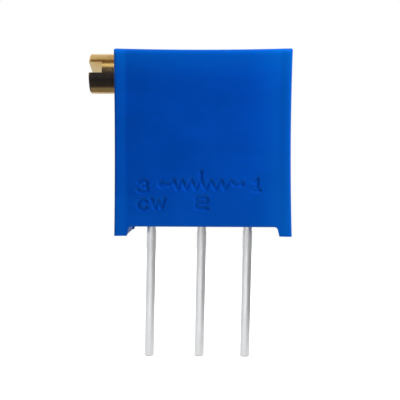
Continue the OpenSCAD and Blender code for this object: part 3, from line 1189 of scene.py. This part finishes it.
@dataclass
class WiperWheel:
    """The toothed plastic wheel and the sheet spring that it carries."""

    plastic: MouldedPlastic = MouldedPlastic(
        "wheel_natural", (0.74, 0.70, 0.60), (0.66, 0.61, 0.50), roughness=0.42, gloss=0.4)
    spring: RolledSheet = RolledSheet("contact_sheet", (0.84, 0.62, 0.38), (0.66, 0.44, 0.24))

    def build(self) -> None:
        """Dresses the wheel and its spring."""
        Workshop.dress("worm_wheel", self.plastic.make())
        Workshop.dress("contact_spring", self.spring.make())


@dataclass
class Element:
    """The ceramic plate with the resistance film and the conductors on it."""

    alumina: FiredFilm = FiredFilm("fired_alumina", (0.86, 0.85, 0.81), (0.76, 0.75, 0.71), roughness=0.55)
    cermet: FiredFilm = FiredFilm("cermet_film", (0.030, 0.028, 0.028), (0.012, 0.011, 0.012), roughness=0.34)
    silver: FiredFilm = FiredFilm(
        "conductor_film", (0.66, 0.64, 0.59), (0.50, 0.48, 0.44), roughness=0.38, metallic=0.9)

    def build(self) -> None:
        """Dresses the plate and its films."""
        Workshop.dress("ceramic_plate", self.alumina.make())
        Workshop.dress("resistance_track", self.cermet.make())
        conductor = self.silver.make()
        for node in ("collector_track", "end_trace_1", "end_trace_3"):
            Workshop.dress(node, conductor)


@dataclass
class Leads:
    """The three tinned leads and the joints that hold them to the conductors."""

    count: int = 3
    wire: DrawnWire = DrawnWire("tinned_wire", (0.86, 0.87, 0.88), (0.79, 0.80, 0.81), roughness=0.30)
    solder: DrawnWire = DrawnWire("solder_joint", (0.72, 0.73, 0.74), (0.58, 0.59, 0.60), roughness=0.26)

    def build(self) -> None:
        """Dresses each lead and its joint."""
        tinned, joint = self.wire.make(), self.solder.make()
        for i in range(1, self.count + 1):
            Workshop.dress(f"terminal_{i}", tinned)
            Workshop.dress(f"solder_{i}", joint)


# ---------------- studio


@dataclass
class Studio:
    """Camera at the photograph's angle, pale floor, soft light."""

    eye: Place = (2.65, -67.42, 5.92)
    yaw: float = 2.33
    pitch: float = 3.49
    roll: float = 0.10
    lens: float = 109.8
    film_width: float = 36
    near_and_far: Point2 = (0.005, 20)
    floor_z: float = -6.9
    floor_reach: float = 60.0
    sky: float = 0.2
    floor_tone: float = 0.6
    floor_glow: float = 0.7
    mirror_glow: float = 0.15

    def camera(self) -> None:
        """Places the camera."""
        yaw, pitch, roll = (math.radians(a) for a in (self.yaw, self.pitch, self.roll))
        ahead = Vector((-math.sin(yaw) * math.cos(pitch), math.cos(yaw) * math.cos(pitch), -math.sin(pitch)))
        across = ahead.cross(Vector((0, 0, 1))).normalized()
        up = across.cross(ahead)
        right = math.cos(roll) * across + math.sin(roll) * up
        top = ahead.cross(right) * -1
        data = bpy.data.cameras.new("camera")
        data.lens = self.lens
        data.sensor_width = self.film_width
        data.clip_start, data.clip_end = self.near_and_far
        cam = Workshop.add("camera", data)
        turned = Matrix((right, top, -ahead)).transposed().to_4x4()
        cam.matrix_world = Matrix.Translation(Vector(self.eye) * MM) @ turned
        bpy.context.scene.camera = cam

    @staticmethod
    def lamp(name: str, place: Place, aim: Place, size: float, watts: float) -> None:
        """Adds a soft, white, square lamp that neither the camera nor a mirroring surface sees.

        Args:
            name: Name of the lamp.
            place: Where it is, in millimetres.
            aim: What it faces, in millimetres.
            size: Side of its square, in millimetres.
            watts: Power.
        """
        data = bpy.data.lights.new(name, "AREA")
        data.shape = "SQUARE"
        data.size = size * MM
        data.energy = watts
        thing = Workshop.add(name, data)
        thing.location = Vector(place) * MM
        thing.rotation_euler = (Vector(aim) - Vector(place)).to_track_quat("-Z", "Y").to_euler()
        thing.visible_camera = thing.visible_glossy = False

    def world(self) -> None:
        """Makes the surroundings: white where they are seen or mirrored, softer as light."""
        world = bpy.data.worlds.new("surroundings")
        bpy.context.scene.world = world
        g = Graph(world)
        light = g.node("ShaderNodeBackground", {}, {"Color": WHITE, "Strength": self.sky})
        white = g.node("ShaderNodeBackground", {}, {"Color": WHITE, "Strength": 1.0})
        camera, glossy, clear = g.rays()
        g.surface(g.node("ShaderNodeMixShader", {}, {0: camera + glossy + clear, 1: light, 2: white}))

    def floor(self) -> None:
        """Makes the pale floor under the leads."""
        reach, z = self.floor_reach, self.floor_z
        corners = [(-reach, -reach, z), (reach, -reach, z), (reach, reach, z), (-reach, reach, z)]
        floor = Workshop.piece("floor", np.array(corners) * MM, [(0, 1, 2, 3)])
        g = Graph.of_finish("pale_floor")
        g.set(Base_Color=(self.floor_tone,) * 3, Roughness=0.9, Specular_IOR_Level=0.0)
        camera, glossy, clear = g.rays()
        strength = camera * self.floor_glow + (glossy + clear) * self.mirror_glow
        glow = g.node("ShaderNodeEmission", {}, {"Color": WHITE, "Strength": strength})
        g.surface(g.node("ShaderNodeAddShader", {}, {0: Signal(g, g.shader.outputs[0]), 1: glow}))
        floor.data.materials.append(g.owner)

    @staticmethod
    def card(name: str, low: Place, high: Place, tone: float, colour: Colour = WHITE) -> None:
        """Adds a flat card that only mirroring surfaces see, as a darker part of the room.

        Args:
            name: Name of the card.
            low: Its lowest corner in millimetres.
            high: The corner across from it; the two share X, Y or Z, which the card is square to.
            tone: How bright it is.
            colour: Its colour.
        """
        first, second = (i for i in range(3) if low[i] != high[i])
        corners = np.array([low] * 4)
        corners[1:3, first] = high[first]
        corners[2:4, second] = high[second]
        card = Workshop.piece(name, corners * MM, [(0, 1, 2, 3)])
        g = Graph.of_finish(name)
        g.surface(g.node("ShaderNodeEmission", {}, {"Color": colour, "Strength": tone}))
        card.data.materials.append(g.owner)
        card.visible_camera = card.visible_diffuse = card.visible_shadow = card.visible_transmission = False

    def cards_round_screw(self) -> None:
        """Adds the dark of the room in front of the screw, beside it, under it and over it."""
        far, split, front = -40.0, -4.7, -14.0
        shelf, ceiling = 2.0, 25.0
        dark, dim = 0.105, 0.05
        night, amber = (0.28, 0.36, 1.0), (1.0, 0.64, 0.28)
        self.card("card_front", (split, front, 1.0), (6.0, front, 11.5), tone=0.006)
        self.card("card_left", (far, front, shelf), (split, front, 20.3), tone=dark, colour=night)
        self.card("card_shelf", (far, front, shelf), (split, -0.9, shelf), tone=dim, colour=night)
        self.card("card_step", (split, front, shelf), (-1.0, -2.9, shelf), tone=dim, colour=night)
        self.card("card_end", (-14.0, front, 0.5), (-14.0, 20.0, 8.8), tone=dark, colour=night)
        self.card("card_under", (far, -0.9, shelf), (split, 6.0, shelf), tone=0.2)
        self.card("card_over", (far, -9.9, ceiling), (0.0, -0.8, ceiling), tone=0.155, colour=amber)
        self.card("card_above", (far, -0.8, ceiling), (0.0, 17.0, ceiling), tone=0.64)

    def cards_round_leads(self) -> None:
        """Adds the softer dark beside the leads, behind them and under them."""
        left, right, back = -12.0, 10.0, 28.0
        front, floor, top = -8.0, self.floor_z + 0.02, -0.1
        self.card("card_right", (right, -60.0, floor), (right, back, top), tone=0.3)
        self.card("card_near", (left, front, floor), (left, back, top), tone=0.75)
        self.card("card_low", (left, front, floor + 0.02), (right, back, floor + 0.02), tone=0.85)
        self.card("card_back", (left, back, floor), (right, back, top), tone=0.5)

    def build(self) -> None:
        """Builds the whole studio."""
        self.camera()
        self.world()
        self.floor()
        self.cards_round_screw()
        self.cards_round_leads()
        self.lamp("key", (26, -22, 22), (0, 0, 5), size=12, watts=0.0118)
        self.lamp("back", (-25, 45, 22), (0, 0, 5), size=25, watts=0.0167)
        self.lamp("top", (0, -12, 120), (0, 0, 8), size=60, watts=0.15)
        bpy.context.scene.view_settings.view_transform = "Standard"


# ---------------- the whole


def main() -> None:
    """Builds the trimmer's sub-assemblies in order, and then the studio."""
    logging.basicConfig(level=logging.INFO, format="%(message)s")
    drive, element = (ScrewDrive.of_solid(), WiperWheel()), (Element(), Leads())
    for part in (Housing.of_solid(), Potting.of_solid(), *drive, *element, Studio()):
        log.info("building %s", type(part).__name__)
        part.build()


if __name__ == "__main__":
    main()
